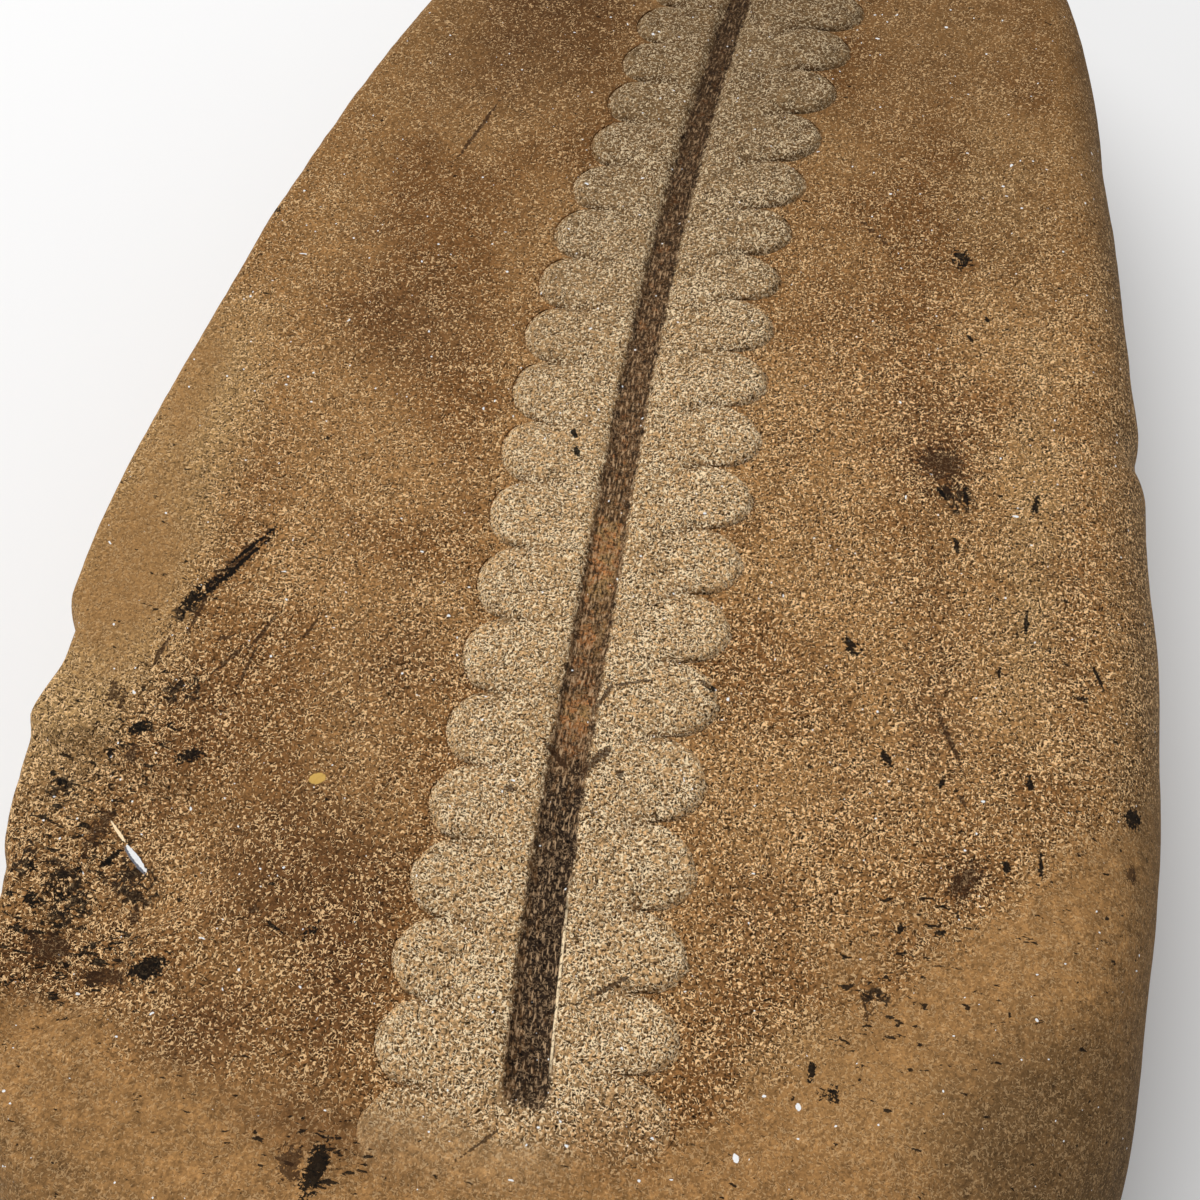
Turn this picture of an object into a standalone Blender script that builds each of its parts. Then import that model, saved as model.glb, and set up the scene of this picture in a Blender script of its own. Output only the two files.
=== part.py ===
"""Fossil fern plate, in metres, +Z up.

One natural stone: half of a worn, fine-grained nodule that split along its length. The split face
looks up and carries one fern frond from end to end: a midrib groove with a row of round lobes on
each side, fused at their bases. The flanks are the nodule's rounded skin, and the underside is a
flat parting face that the stone rests on.

+Y runs along the frond, +X is to its right, and the origin is at the middle of the underside.
"""

import bpy
import bmesh
import numpy as np
from mathutils import Vector, noise

MM = 0.001
NAME = "fossil_slab"

# The stone.
LENGTH = 168.0 * MM
WIDTH = 89.8 * MM
FACE_HEIGHT = 30.0 * MM
GIRTH_HEIGHT = 14.0 * MM
FOOT_INSET = 10.0 * MM

# Plan outline at the girth, anticlockwise from the right-hand side.
GIRTH = [
    (46.5, -20.0), (45.4, -6.0), (43.9, 12.0), (39.3, 36.0), (35.0, 57.0), (25.0, 75.0),
    (7.5, 84.0), (-10.5, 80.0), (-22.8, 65.0), (-32.5, 43.0), (-38.3, 20.0), (-41.3, 0.0),
    (-43.3, -19.0), (-43.1, -37.0), (-40.9, -54.0), (-33.8, -70.0), (-18.5, -80.5),
    (0.0, -84.0), (18.5, -80.5), (33.0, -70.5), (41.8, -56.5), (45.4, -40.0),
]

# Plan width of the rounded shoulder between the face and the girth: degrees anticlockwise from
# +X, on the outline scaled to a circle, and millimetres.
SHOULDER = [
    (0.0, 11.0), (40.0, 10.0), (90.0, 10.0), (135.0, 6.0), (175.0, 3.0), (205.0, 3.0), (220.0, 4.5),
    (250.0, 13.0), (290.0, 16.0), (325.0, 19.0), (345.0, 13.0),
]

# The worn lip of skin that stands above the near end of the face. It starts at a line across the
# stone and at a slanting line, given by a point and the direction in which the lip rises.
LIP_HEIGHT = 2.6 * MM
LIP_SLOPE = 11.0 * MM
LIP_START_NEAR = -58.0 * MM
LIP_CORNER = (8.5 * MM, -58.0 * MM)
LIP_CORNER_RISE = (0.69, -0.72)

# The hollow of the face, the waviness of the break, as (height, length), and the lumpy skin.
DISH_ACROSS = 1.3 * MM
DISH_ALONG = 1.2 * MM
BREAK_WAVES = [(0.55 * MM, 26.0 * MM), (0.28 * MM, 9.0 * MM), (0.14 * MM, 4.0 * MM)]
SKIN_WAVES = [(2.2 * MM, 34.0 * MM), (0.7 * MM, 12.0 * MM)]
LUMPY_SHOULDER = 10.0 * MM

# A flaked ledge beside the left edge, and chips out of the edge: place, reach and depth in mm.
LEDGE_DEPTH = 1.3 * MM
LEDGE_CENTRE = (-35.0 * MM, -47.5 * MM)
LEDGE_REACH = (10.0 * MM, 10.0 * MM)
LEDGE_RAGGED = 6.0 * MM
CHIPS = [(-43.2, -33.3, 4.2, 1.5), (-41.0, -51.0, 3.0, 0.7), (44.6, 4.0, 2.8, 0.7)]

# The frond's midrib: its line, as (distance along, sideways) in mm, and its squared near end.
MIDRIB_LINE = [
    (-84.0, 3.2), (-58.0, 0.4), (-40.0, -1.1), (-20.0, -1.7), (0.0, -2.2), (20.0, -1.9),
    (40.0, -0.5), (60.0, 2.0), (84.0, 5.6),
]
MIDRIB_WIDTH = 2.7 * MM
MIDRIB_NEAR_END = -57.3 * MM
GROOVE_DEPTH = 0.15 * MM
GROOVE_WALL = 0.7 * MM

# The notches between lobes, as (notch number, distance along in mm). A crease runs in from each
# notch to the midrib, straight across on the left and swept back on the right.
LEFT_NOTCHES = [
    (-2.0, -69.0), (0.0, -57.6), (5.0, -29.1), (8.0, -10.5), (14.0, 23.7), (17.0, 39.2), (26.0, 84.5),
]
RIGHT_NOTCHES = [
    (-2.0, -65.2), (0.0, -54.2), (2.0, -43.2), (4.0, -30.2), (7.0, -12.3), (10.0, 5.0), (13.0, 21.0),
    (17.0, 43.8), (26.0, 90.0),
]
RIGHT_SWEEP = 3.5 * MM
LEFT_NOTCH_DEPTH = 2.4 * MM
RIGHT_NOTCH_DEPTH = 3.6 * MM
TIP_FULLNESS = 0.55

# How far the lobes' tips lie from the midrib, as (lobe number, distance in mm).
LEFT_REACH = [(-2.0, 10.8), (0.5, 10.5), (3.5, 9.6), (12.5, 10.1), (15.0, 9.1), (18.0, 8.8), (24.0, 6.0)]
RIGHT_REACH = [
    (-2.0, 9.6), (0.5, 10.3), (4.0, 10.5), (8.0, 11.3), (12.0, 10.7), (15.0, 11.7), (18.0, 12.2),
    (24.0, 7.0),
]
USUAL_REACH = 10.5 * MM

# The frond's relief, and the numbers between which it fades out at its two ends.
LOBE_HEIGHT = 0.5 * MM
LOBE_RIM = 0.8 * MM
CREASE_DEPTH = 0.35 * MM
CREASE_WIDTH = 0.22
MOAT_DEPTH = 0.2 * MM
MOAT_WIDTH = 2.5 * MM
NEAR_FADE = (-1.3, 0.3)
FAR_FADE = (23.5, 21.3)

# The mesh. Rows run across the frond, so many to a lobe, and columns along it: on each side two
# at the groove's wall, then some at shares of the lobes' reach, then some out to the edge.
FIRST_NUMBER = -1.5
LAST_NUMBER = 24.0
CREASE_CROWDING = 0.095
ROWS_PER_LOBE = 6
NEAR_ROWS = 10
FAR_ROWS = 8
LOBE_SHARES = [0.22, 0.42, 0.62, 0.80, 0.91, 1.0]
OUTER_COLUMNS = 18
SETTLE_COLUMNS = 9
FLANK_RINGS = 9
TRIANGLES = 9700

STONE_COLOUR = (0.27, 0.165, 0.085, 1.0)
STONE_ROUGHNESS = 0.85

SIDE_COLUMNS = 2 + len(LOBE_SHARES) + OUTER_COLUMNS
FROND_COLUMNS = 2 + len(LOBE_SHARES)
FROND_ROWS = round((LAST_NUMBER - FIRST_NUMBER) * ROWS_PER_LOBE)
ROWS = NEAR_ROWS + FROND_ROWS + FAR_ROWS


def smooth_curve(stations, at, period=None):
    """A smooth curve through (place, value) stations, read at an array of places."""
    places, values = np.array(sorted(stations)).T
    if period:
        places = np.concatenate([places[-2:] - period, places, places[:2] + period])
        values = np.concatenate([values[-2:], values, values[:2]])
    slopes = np.gradient(values, places)
    at = np.clip(at, places[0], places[-1])
    low = np.clip(np.searchsorted(places, at) - 1, 0, len(places) - 2)
    span = places[low + 1] - places[low]
    part = (at - places[low]) / span
    start = (2 * part**3 - 3 * part**2 + 1) * values[low]
    leave = (part**3 - 2 * part**2 + part) * span * slopes[low]
    end = (3 * part**2 - 2 * part**3) * values[low + 1]
    arrive = (part**3 - part**2) * span * slopes[low + 1]
    return start + leave + end + arrive


def smooth_step(value, start=0.0, end=1.0):
    """0 at the start, 1 at the end, and a smooth rise between."""
    value = np.clip((value - start) / (end - start), 0.0, 1.0)
    return value * value * (3 - 2 * value)


def waves(points, height, length):
    """Smooth random waves, always the same ones, at an array of points."""
    return height * np.array([noise.noise(Vector(point / length)) for point in points])


def midrib(along):
    return smooth_curve(MIDRIB_LINE, along / MM) * MM


def notch_place(number):
    """Where the creases of a number start at the midrib, and their left and right notches."""
    left = smooth_curve(LEFT_NOTCHES, number) * MM
    right = smooth_curve(RIGHT_NOTCHES, number) * MM
    return (left + right - RIGHT_SWEEP) / 2, left, right


def lobe_edge(number, left):
    """How far the frond's scalloped edge lies from the midrib, and how near a crease it is."""
    reach = np.where(left, smooth_curve(LEFT_REACH, number), smooth_curve(RIGHT_REACH, number)) * MM
    across = np.abs(2 * (number - np.floor(number)) - 1)
    bulge = np.clip(1 - across**2, 0, 1) ** TIP_FULLNESS
    deep = np.where(left, LEFT_NOTCH_DEPTH, RIGHT_NOTCH_DEPTH)
    return reach - deep * (1 - bulge), across, reach - deep


def frond_relief(number, out, left, along):
    """Height of the frond above the split face: lobes, creases, midrib groove and moat."""
    edge, across, notch_line = lobe_edge(number, left)
    inside = edge - out
    crease = np.exp(-(((1 - across) / CREASE_WIDTH) ** 2)) * smooth_step(out, MIDRIB_WIDTH, notch_line)
    lobed = (LOBE_HEIGHT - CREASE_DEPTH * crease) * smooth_step(inside, 0, LOBE_RIM)
    moat = -MOAT_DEPTH * np.exp(-((inside / MOAT_WIDTH) ** 2))
    height = np.where(inside > 0, lobed - MOAT_DEPTH * (1 - smooth_step(inside, 0, LOBE_RIM)), moat)
    groove = smooth_step(-out, -(MIDRIB_WIDTH + GROOVE_WALL) / 2, -(MIDRIB_WIDTH - GROOVE_WALL) / 2)
    groove = groove * smooth_step(along, MIDRIB_NEAR_END, MIDRIB_NEAR_END + GROOVE_WALL)
    height = height * (1 - groove) - GROOVE_DEPTH * groove
    return height * smooth_step(number, *NEAR_FADE) * smooth_step(number, *FAR_FADE)


def face_height(x, y):
    """Height of the split face, carried on past its edge as if the shoulder weren't there."""
    plan = np.stack([x, y, np.zeros(len(x))]).T
    dish = DISH_ACROSS * (x / (WIDTH / 2)) ** 2 + DISH_ALONG * (y / (LENGTH / 2)) ** 2
    near = LIP_START_NEAR - y
    corner = (x - LIP_CORNER[0]) * LIP_CORNER_RISE[0] + (y - LIP_CORNER[1]) * LIP_CORNER_RISE[1]
    lip = LIP_HEIGHT * smooth_step(np.maximum(near, corner), 0, LIP_SLOPE)
    wavy = sum(waves(plan, height, length) for height, length in BREAK_WAVES)
    ledge_x = (x - LEDGE_CENTRE[0]) / LEDGE_REACH[0]
    ledge_y = (y - LEDGE_CENTRE[1]) / LEDGE_REACH[1]
    ragged = np.hypot(ledge_x, ledge_y) + waves(plan, 0.5, LEDGE_RAGGED)
    ledge = -LEDGE_DEPTH * smooth_step(-ragged, -1.15, -0.9)
    return FACE_HEIGHT + dish + lip + wavy + ledge


def chip_depth(girth):
    """How far chips and dents set the edge back, at plan points on the girth."""
    depth = np.zeros(len(girth))
    for chip_x, chip_y, reach, deep in CHIPS:
        away = np.hypot(girth[:, 0] / MM - chip_x, girth[:, 1] / MM - chip_y) / reach
        depth = depth + deep * MM * smooth_step(-away, -1.3, -0.3)
    return depth


def rim(bearing, below):
    """Heading, distance to the girth and width of the shoulder, at bearings from the middle.

    Bearings are on the outline scaled to a circle. Below is how far down the flank a point is.
    """
    degrees = np.degrees(bearing) % 360
    across, along = np.array(GIRTH).T * MM
    across = across / (WIDTH / 2)
    along = along / (LENGTH / 2)
    stations = list(zip(np.degrees(np.arctan2(along, across)) % 360, np.hypot(across, along)))
    spoke = np.stack([np.cos(bearing) * WIDTH / 2, np.sin(bearing) * LENGTH / 2]).T
    length = np.hypot(spoke[:, 0], spoke[:, 1])
    reach = smooth_curve(stations, degrees, 360.0) * length
    heading = spoke / length[:, None]
    chips = chip_depth(heading * reach[:, None]) * (1 - smooth_step(below, 0, 0.7))
    return heading, reach - chips, smooth_curve(SHOULDER, degrees, 360.0) * MM


def grid_numbers(grid):
    """The column, counted out from the midrib, the side and the row of each point of the grid."""
    column = np.round(grid[:, 0] * SIDE_COLUMNS).astype(int)
    row = np.round((grid[:, 1] + 1) / 2 * ROWS).astype(int)
    return np.abs(column), column < 0, row


def column_out(column, edge):
    """Distance out from the midrib of each column of the frond, where the lobes end at edge."""
    foot = (MIDRIB_WIDTH - GROOVE_WALL) / 2
    brow = (MIDRIB_WIDTH + GROOVE_WALL) / 2
    places = [np.zeros(len(edge)), np.full(len(edge), foot), np.full(len(edge), brow)]
    places += [brow + share * (edge - brow) for share in LOBE_SHARES]
    return np.array(places)[np.minimum(column, FROND_COLUMNS), np.arange(len(edge))]


def spaced_grid(grid):
    """Space the square grid so that its lines fall roughly where the frond needs them."""
    column, left, row = grid_numbers(grid)
    frond = column_out(column, np.full(len(grid), USUAL_REACH)) / (WIDTH / 2)
    outer = (column - FROND_COLUMNS) / OUTER_COLUMNS
    x = np.where(outer > 0, frond + outer * (1 - frond), frond) * np.where(left, -1, 1)
    start, end = [notch_place(np.array([number]))[0][0] for number in (FIRST_NUMBER, LAST_NUMBER)]
    stops = [0, NEAR_ROWS, NEAR_ROWS + FROND_ROWS, ROWS]
    y = np.interp(row, stops, [-1, start / (LENGTH / 2), end / (LENGTH / 2), 1])
    return x, y


def settle_on_frond(grid, x, y):
    """Move the grid's lines onto the lobes' edges, the creases and the groove's walls."""
    column, left, row = grid_numbers(grid)
    number = FIRST_NUMBER + (row - NEAR_ROWS) / ROWS_PER_LOBE
    number = np.clip(number - CREASE_CROWDING * np.sin(2 * np.pi * number), FIRST_NUMBER, LAST_NUMBER)
    edge, _, notch_line = lobe_edge(number, left)
    out = column_out(column, edge)
    middle, left_notch, right_notch = notch_place(number)
    notch = np.where(left, left_notch, right_notch)
    along = middle + (notch - middle) * smooth_step(out, 0, notch_line)
    aside = midrib(along) + out * np.where(left, -1, 1)
    hold = 1 - smooth_step(column, FROND_COLUMNS, FROND_COLUMNS + SETTLE_COLUMNS)
    hold = hold * smooth_step(row, 0, NEAR_ROWS) * (1 - smooth_step(row, ROWS - FAR_ROWS, ROWS))
    out = np.where(column > FROND_COLUMNS, np.abs(x - midrib(y)), out)
    return x + (aside - x) * hold, y + (along - y) * hold, frond_relief(number, out, left, along)


def wrap_stone(grid, flat):
    """Wrap a flat disc round the stone: radius 0 to 1 is the face and shoulder, 1 to 2 the flank."""
    radius = np.hypot(flat[:, 0], flat[:, 1])
    below = np.clip(radius - 1, 0, 1)
    heading, reach, shoulder = rim(np.arctan2(flat[:, 1], flat[:, 0]), below)
    arc = np.pi / 2 * np.sqrt((shoulder**2 + (FACE_HEIGHT - GIRTH_HEIGHT) ** 2) / 2)
    along = np.minimum(radius, 1) * (reach - shoulder + arc)
    turn = np.clip((along - reach + shoulder) / arc, 0, 1) * np.pi / 2
    x, y = heading.T * (np.minimum(along, reach - shoulder) + shoulder * np.sin(turn))

    relief = np.zeros(len(x))
    face = slice(0, len(grid))
    x[face], y[face], relief[face] = settle_on_frond(grid, x[face], y[face])
    heading, reach, shoulder = rim(np.arctan2(y / LENGTH, x / WIDTH), below)
    past_brow = np.clip((np.hypot(x, y) - reach + shoulder) / shoulder, 0, 1)
    height = GIRTH_HEIGHT + (face_height(x, y) + relief - GIRTH_HEIGHT) * np.sqrt(1 - past_brow**2)
    height = height - GIRTH_HEIGHT * np.sin(below * np.pi / 2)
    points = np.stack([x, y, height]).T
    lumps = sum(waves(points, deep, length) for deep, length in SKIN_WAVES) * past_brow**2
    lumps = lumps * np.minimum(shoulder / LUMPY_SHOULDER, 1)
    points[:, :2] += heading * (lumps - FOOT_INSET * (1 - np.cos(below * np.pi / 2)))[:, None]
    points[:, :2] -= (points[:, :2].min(axis=0) + points[:, :2].max(axis=0)) / 2
    return points


def read_points(mesh):
    points = np.empty(len(mesh.vertices) * 3)
    mesh.vertices.foreach_get("co", points)
    return points.reshape(-1, 3)


def flat_disc(mesh, x, y):
    """Turn the square grid in a mesh into a disc of radius 1, and add rings out to radius 2."""
    bm = bmesh.new()
    bm.from_mesh(mesh)
    for vert, across, along in zip(bm.verts, x, y):
        vert.co.x = across * np.sqrt(1 - along * along / 2)
        vert.co.y = along * np.sqrt(1 - across * across / 2)
    for ring in range(FLANK_RINGS):
        edges = [edge for edge in bm.edges if edge.is_boundary]
        made = bmesh.ops.extrude_edge_only(bm, edges=edges)["geom"]
        for vert in [part for part in made if isinstance(part, bmesh.types.BMVert)]:
            vert.co *= (1 + (ring + 1) / FLANK_RINGS) / vert.co.length
    bmesh.ops.contextual_create(bm, geom=[edge for edge in bm.edges if edge.is_boundary])
    bmesh.ops.recalc_face_normals(bm, faces=bm.faces)
    bm.to_mesh(mesh)
    bm.free()


def stone_material():
    material = bpy.data.materials.new("stone")
    material.use_nodes = True
    shader = material.node_tree.nodes["Principled BSDF"]
    shader.inputs["Base Color"].default_value = STONE_COLOUR
    shader.inputs["Roughness"].default_value = STONE_ROUGHNESS
    shader.inputs["Metallic"].default_value = 0.0
    return material


def make_slab():
    bpy.ops.mesh.primitive_grid_add(x_subdivisions=2 * SIDE_COLUMNS, y_subdivisions=ROWS, size=2)
    slab = bpy.context.object
    slab.name = NAME
    slab.data.name = NAME
    grid = read_points(slab.data)
    flat_disc(slab.data, *spaced_grid(grid))
    points = wrap_stone(grid, read_points(slab.data))
    slab.data.vertices.foreach_set("co", points.ravel())
    slab.data.update()
    return slab


def thin_out(slab):
    """Keep the triangles where the shape bends, and leave the underside dead flat."""
    slab.data.calc_loop_triangles()
    thin = slab.modifiers.new("Thin out", "DECIMATE")
    thin.ratio = TRIANGLES / len(slab.data.loop_triangles)
    bpy.ops.object.modifier_apply(modifier=thin.name)
    for vert in slab.data.vertices:
        if vert.co.z < 0.3 * MM:
            vert.co.z = 0.0


def main():
    for old in list(bpy.data.objects):
        bpy.data.objects.remove(old)
    slab = make_slab()
    thin_out(slab)
    slab.data.materials.clear()
    slab.data.materials.append(stone_material())
    collection = bpy.data.collections.new("fossil_fern_plate")
    bpy.context.scene.collection.children.link(collection)
    for home in list(slab.users_collection):
        home.objects.unlink(slab)
    collection.objects.link(slab)


main()
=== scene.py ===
"""Fossil fern plate: the finished look of the stone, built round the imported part.

The stone is one fine mesh that repeats the part's own formulas, with the broken ground, pits and
grooves added, and one sandstone material. Places on the stone are in its plan, in metres or as
noted, with +Y along the frond from its near end to its far end.
"""

import math

import bpy
import bmesh
import numpy as np
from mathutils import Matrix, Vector, noise


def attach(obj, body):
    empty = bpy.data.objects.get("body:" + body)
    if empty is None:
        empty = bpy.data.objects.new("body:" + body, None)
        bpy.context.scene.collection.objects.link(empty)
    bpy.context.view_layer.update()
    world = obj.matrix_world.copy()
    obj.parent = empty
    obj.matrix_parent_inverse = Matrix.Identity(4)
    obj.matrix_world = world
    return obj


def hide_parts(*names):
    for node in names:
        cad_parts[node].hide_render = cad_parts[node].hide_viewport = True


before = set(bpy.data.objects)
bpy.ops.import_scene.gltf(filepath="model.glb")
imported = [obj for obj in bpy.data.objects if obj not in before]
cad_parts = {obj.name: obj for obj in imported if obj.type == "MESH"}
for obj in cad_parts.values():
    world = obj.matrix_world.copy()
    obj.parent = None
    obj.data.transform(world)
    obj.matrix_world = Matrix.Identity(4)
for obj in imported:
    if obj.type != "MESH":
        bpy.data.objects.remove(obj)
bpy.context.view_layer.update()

MM = 0.001

# ---------------------------------------------------------------- the stone, as in the part
LENGTH = 168.0 * MM
WIDTH = 89.8 * MM
FACE_HEIGHT = 30.0 * MM
GIRTH_HEIGHT = 14.0 * MM
FOOT_INSET = 10.0 * MM

# Plan outline at the girth, anticlockwise from the right-hand side, in mm.
GIRTH = [
    (46.5, -20.0), (45.4, -6.0), (43.9, 12.0), (39.3, 36.0), (35.0, 57.0), (25.0, 75.0),
    (7.5, 84.0), (-10.5, 80.0), (-22.8, 65.0), (-32.5, 43.0), (-38.3, 20.0), (-41.3, 0.0),
    (-43.3, -19.0), (-43.1, -37.0), (-40.9, -54.0), (-33.8, -70.0), (-18.5, -80.5),
    (0.0, -84.0), (18.5, -80.5), (33.0, -70.5), (41.8, -56.5), (45.4, -40.0),
]

# Plan width of the rounded shoulder: degrees anticlockwise from +X, and mm.
SHOULDER = [
    (0.0, 11.0), (40.0, 10.0), (90.0, 10.0), (135.0, 6.0), (175.0, 3.0), (205.0, 3.0), (220.0, 4.5),
    (250.0, 13.0), (290.0, 16.0), (325.0, 19.0), (345.0, 13.0),
]

# The worn lip at the near end.
LIP_HEIGHT = 2.6 * MM
LIP_SLOPE = 11.0 * MM
LIP_START_NEAR = -58.0 * MM
LIP_CORNER = (8.5 * MM, -58.0 * MM)
LIP_CORNER_RISE = (0.69, -0.72)

# The hollow of the face, its waviness as (height, length), and the lumpy skin.
DISH_ACROSS = 1.3 * MM
DISH_ALONG = 1.2 * MM
BREAK_WAVES = [(0.55 * MM, 26.0 * MM), (0.28 * MM, 9.0 * MM), (0.14 * MM, 4.0 * MM)]
SKIN_WAVES = [(2.2 * MM, 34.0 * MM), (0.7 * MM, 12.0 * MM)]
LUMPY_SHOULDER = 10.0 * MM
FINE_WAVES = [(0.10 * MM, 1.9 * MM), (0.05 * MM, 0.9 * MM)]

# The flaked ledge and the chips at the left edge.
LEDGE_DEPTH = 1.3 * MM
LEDGE_CENTRE = (-35.0 * MM, -47.5 * MM)
LEDGE_REACH = (10.0 * MM, 10.0 * MM)
LEDGE_RAGGED = 6.0 * MM
CHIPS = [(-43.2, -33.3, 4.2, 1.5), (-41.0, -51.0, 3.0, 0.7), (44.6, 4.0, 2.8, 0.7)]

# The midrib's line, as (distance along, sideways) in mm, and its groove.
MIDRIB_LINE = [
    (-84.0, 3.2), (-58.0, 0.4), (-40.0, -1.1), (-20.0, -1.7), (0.0, -2.2), (20.0, -1.9),
    (40.0, -0.5), (60.0, 2.0), (84.0, 5.6),
]
MIDRIB_WIDTH = 2.7 * MM
MIDRIB_NEAR_END = -57.3 * MM
GROOVE_DEPTH = 0.15 * MM
GROOVE_WALL = 0.7 * MM

# The notches between lobes, as (notch number, distance along in mm).
LEFT_NOTCHES = [
    (-2.0, -69.0), (0.0, -57.6), (5.0, -29.1), (8.0, -10.5), (14.0, 23.7), (17.0, 39.2), (26.0, 84.5),
]
RIGHT_NOTCHES = [
    (-2.0, -65.2), (0.0, -54.2), (2.0, -43.2), (4.0, -30.2), (7.0, -12.3), (10.0, 5.0), (13.0, 21.0),
    (17.0, 43.8), (26.0, 90.0),
]
RIGHT_SWEEP = 3.5 * MM
LEFT_NOTCH_DEPTH = 2.4 * MM
RIGHT_NOTCH_DEPTH = 3.6 * MM
TIP_FULLNESS = 0.55

# How far the lobes' tips lie from the midrib, as (lobe number, distance in mm).
LEFT_REACH = [(-2.0, 10.8), (0.5, 10.5), (3.5, 9.6), (12.5, 10.1), (15.0, 9.1), (18.0, 8.8), (24.0, 6.0)]
RIGHT_REACH = [
    (-2.0, 9.6), (0.5, 10.3), (4.0, 10.5), (8.0, 11.3), (12.0, 10.7), (15.0, 11.7), (18.0, 12.2),
    (24.0, 7.0),
]
USUAL_REACH = 10.5 * MM

# The frond's relief, and the numbers between which it fades out at its two ends.
LOBE_HEIGHT = 0.5 * MM
LOBE_RIM = 0.8 * MM
CREASE_DEPTH = 0.35 * MM
CREASE_WIDTH = 0.22
MOAT_DEPTH = 0.2 * MM
MOAT_WIDTH = 2.5 * MM
NEAR_FADE = (-1.3, 0.3)
FAR_FADE = (23.5, 21.3)

# ---------------------------------------------------------------- the mesh
FIRST_NUMBER = -1.5
LAST_NUMBER = 24.0
CREASE_CROWDING = 0.095
ROWS_PER_LOBE = 14
NEAR_ROWS = 44
FAR_ROWS = 30
GROOVE_COLUMNS = 4
WALL_COLUMNS = 2
LOBE_COLUMNS = 19
OUTER_COLUMNS = 68
SETTLE_COLUMNS = 36
FLANK_RINGS = 12
FROND_COLUMNS = GROOVE_COLUMNS + WALL_COLUMNS + LOBE_COLUMNS
SIDE_COLUMNS = FROND_COLUMNS + OUTER_COLUMNS
FROND_ROWS = round((LAST_NUMBER - FIRST_NUMBER) * ROWS_PER_LOBE)
ROWS = NEAR_ROWS + FROND_ROWS + FAR_ROWS
SHARP_ANGLE = 60.0

# ---------------------------------------------------------------- marks on the face
# Broken, pitted ground: across, along, reach across, reach along, in mm.
BROKEN_GROUND = [(-34.0, -45.0, 7.0, 9.0), (-31.0, -53.0, 6.0, 4.0), (-30.0, -36.0, 5.0, 5.0)]
PIT_DEPTH = 0.75 * MM
PIT_SIZES = [3.2 * MM, 1.5 * MM]

# Soft patches of colour: across, along, reach across, reach along, in mm, and strength.
RUSTY_PATCHES = [
    (-22.0, 3.0, 8.0, 7.0, 0.7), (-28.0, 12.0, 4.0, 4.0, 0.4), (-20.0, 34.0, 12.0, 10.0, 0.5),
    (-15.0, -28.0, 4.0, 5.0, 0.5), (-19.0, -46.0, 6.0, 5.0, 0.8), (-13.5, -51.0, 3.0, 7.0, 0.8),
    (-22.0, -56.5, 4.0, 3.0, 0.9), (-12.0, -61.0, 7.0, 2.5, 0.7), (-36.0, -54.5, 5.0, 3.0, 0.9),
    (23.5, -3.5, 3.0, 3.5, 1.0), (22.0, 2.0, 6.0, 5.0, 0.5), (24.0, -15.0, 3.0, 10.0, 0.5),
    (25.0, -26.0, 3.0, 6.0, 0.6), (20.0, -33.0, 4.0, 4.0, 0.4), (28.0, -37.2, 2.0, 2.0, 0.9),
    (25.0, -42.0, 3.0, 1.2, 0.4), (13.0, -43.0, 3.0, 7.0, 0.5), (20.0, 42.0, 8.0, 8.0, 0.4),
    (-18.0, -43.0, 7.0, 7.0, 0.5), (-17.0, 48.0, 9.0, 14.0, 0.8), (-20.0, -30.0, 9.0, 12.0, 0.3),
    (-43.4, -38.0, 1.0, 6.0, 1.0), (-41.5, -47.0, 2.0, 4.0, 0.6),
]
PALE_PATCHES = [
    (-20.0, -13.0, 7.0, 4.0, 0.8), (-27.0, -17.0, 4.0, 4.0, 0.5), (-33.0, 2.0, 4.0, 10.0, 0.4),
    (16.0, -16.0, 5.0, 12.0, 0.6), (18.0, 8.0, 8.0, 8.0, 0.3), (-24.0, -36.0, 5.0, 5.0, 0.3),
    (23.0, -20.0, 5.0, 10.0, 0.5), (20.0, -41.0, 5.0, 5.0, 0.6),
]
YELLOW_PATCHES = [
    (-39.0, -27.0, 6.5, 13.0, 1.0), (-37.0, -8.0, 5.0, 12.0, 0.7), (-38.0, -38.0, 4.0, 6.0, 0.6),
    (31.0, -10.0, 4.0, 26.0, 0.5), (22.0, -52.0, 9.0, 5.0, 0.6), (26.0, 26.0, 6.0, 12.0, 0.4),
]
SHADY_PATCHES = [
    (38.0, -54.0, 9.0, 9.0, 1.0), (31.0, -54.0, 5.0, 6.0, 0.6), (41.0, -20.0, 4.0, 30.0, 0.6),
    (38.0, 20.0, 3.0, 20.0, 0.5), (-30.0, -70.0, 12.0, 10.0, 0.5),
]
SMOOTH_PATCHES = [
    (-38.0, -25.0, 6.0, 11.0, 0.9), (-38.5, -6.0, 3.5, 10.0, 0.7), (-33.0, -58.5, 10.0, 3.0, 0.8),
    (-41.0, -52.0, 2.5, 5.0, 1.0), (21.0, -46.0, 6.0, 5.0, 0.6), (24.0, -40.0, 5.0, 3.0, 0.4),
]
FLECKED_PATCHES = [
    (-35.0, -45.0, 5.0, 7.0, 1.0), (-31.0, -53.0, 6.0, 3.5, 1.0), (-31.0, -36.0, 5.0, 4.0, 0.7),
    (-36.0, -52.0, 4.0, 4.0, 0.8), (32.0, -10.0, 3.0, 18.0, 0.35), (37.0, -25.0, 4.0, 20.0, 0.3),
    (25.0, -40.0, 5.0, 4.0, 0.6), (22.0, -47.0, 4.0, 4.0, 0.7), (-12.0, -63.0, 5.0, 2.0, 0.9),
    (-30.0, -24.0, 4.0, 5.0, 0.4), (-20.0, -55.5, 4.0, 2.0, 0.5), (-43.4, -37.0, 1.0, 5.0, 1.0),
    (-43.0, -43.0, 1.2, 5.0, 0.8),
]
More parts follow.
